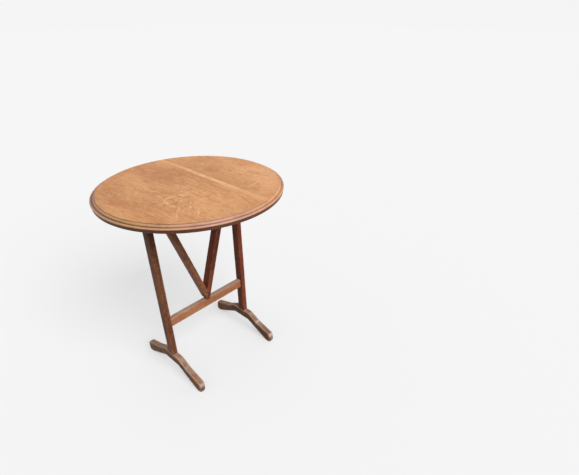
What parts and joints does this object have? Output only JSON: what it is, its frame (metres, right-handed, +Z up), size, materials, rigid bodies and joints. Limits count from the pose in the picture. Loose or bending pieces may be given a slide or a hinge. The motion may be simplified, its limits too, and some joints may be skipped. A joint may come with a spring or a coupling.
{
  "type": "tilt top table",
  "caption": "Round two board table with a moulded rim, tilting on pins between two uprights on arched feet, and held level by a turning V support.",
  "frame": {"origin": "on the floor, under the middle of the level top", "axes": "+Z up, +X from the left upright to the right one, along the hinge; the feet run along Y"},
  "size_m": [0.6198, 0.62, 0.72],
  "materials": {
    "top_oak": "waxed oak, worn",
    "frame_oak": "dark waxed oak",
    "stretcher_oak": "waxed oak, rubbed lighter",
    "foot_oak": "scuffed oak, dry",
    "peg_oak": "dark oak end grain",
    "iron": "dark iron"
  },
  "bodies": {
    "base": {"upright_left": "frame_oak", "upright_right": "frame_oak", "stretcher": "stretcher_oak", "stretcher_peg_left": "peg_oak", "stretcher_peg_right": "peg_oak", "foot_left": "foot_oak", "foot_right": "foot_oak", "foot_peg_left": "peg_oak", "foot_peg_right": "peg_oak"},
    "top": {"top_board_wide": "top_oak", "top_board_narrow": "top_oak", "top_tongue": "peg_oak", "batten_front": "frame_oak", "batten_rear": "frame_oak", "batten_front_screws": "iron", "batten_rear_screws": "iron", "pivot_cleat_left": "frame_oak", "pivot_cleat_right": "frame_oak", "cleat_left_screws": "iron", "cleat_right_screws": "iron", "pivot_pin_left": "peg_oak", "pivot_pin_right": "peg_oak"},
    "support": {"support_arm_left": "frame_oak", "support_arm_right": "frame_oak", "support_crossbar": "frame_oak", "crossbar_peg_left": "peg_oak", "crossbar_peg_right": "peg_oak", "support_heel_peg": "peg_oak", "support_pivot_pin": "iron"}
  },
  "joints": [
    {"name": "top_tilt", "type": "hinge", "parent": "base", "child": "top", "pos_m": [0, 0, 0.682], "axis": [-1, 0, 0], "range_deg": [0, 82]},
    {"name": "support_swivel", "type": "hinge", "parent": "base", "child": "support", "pos_m": [0, 0, 0.247], "axis": [0, 0, 1], "range_deg": [0, 180]}
  ]
}
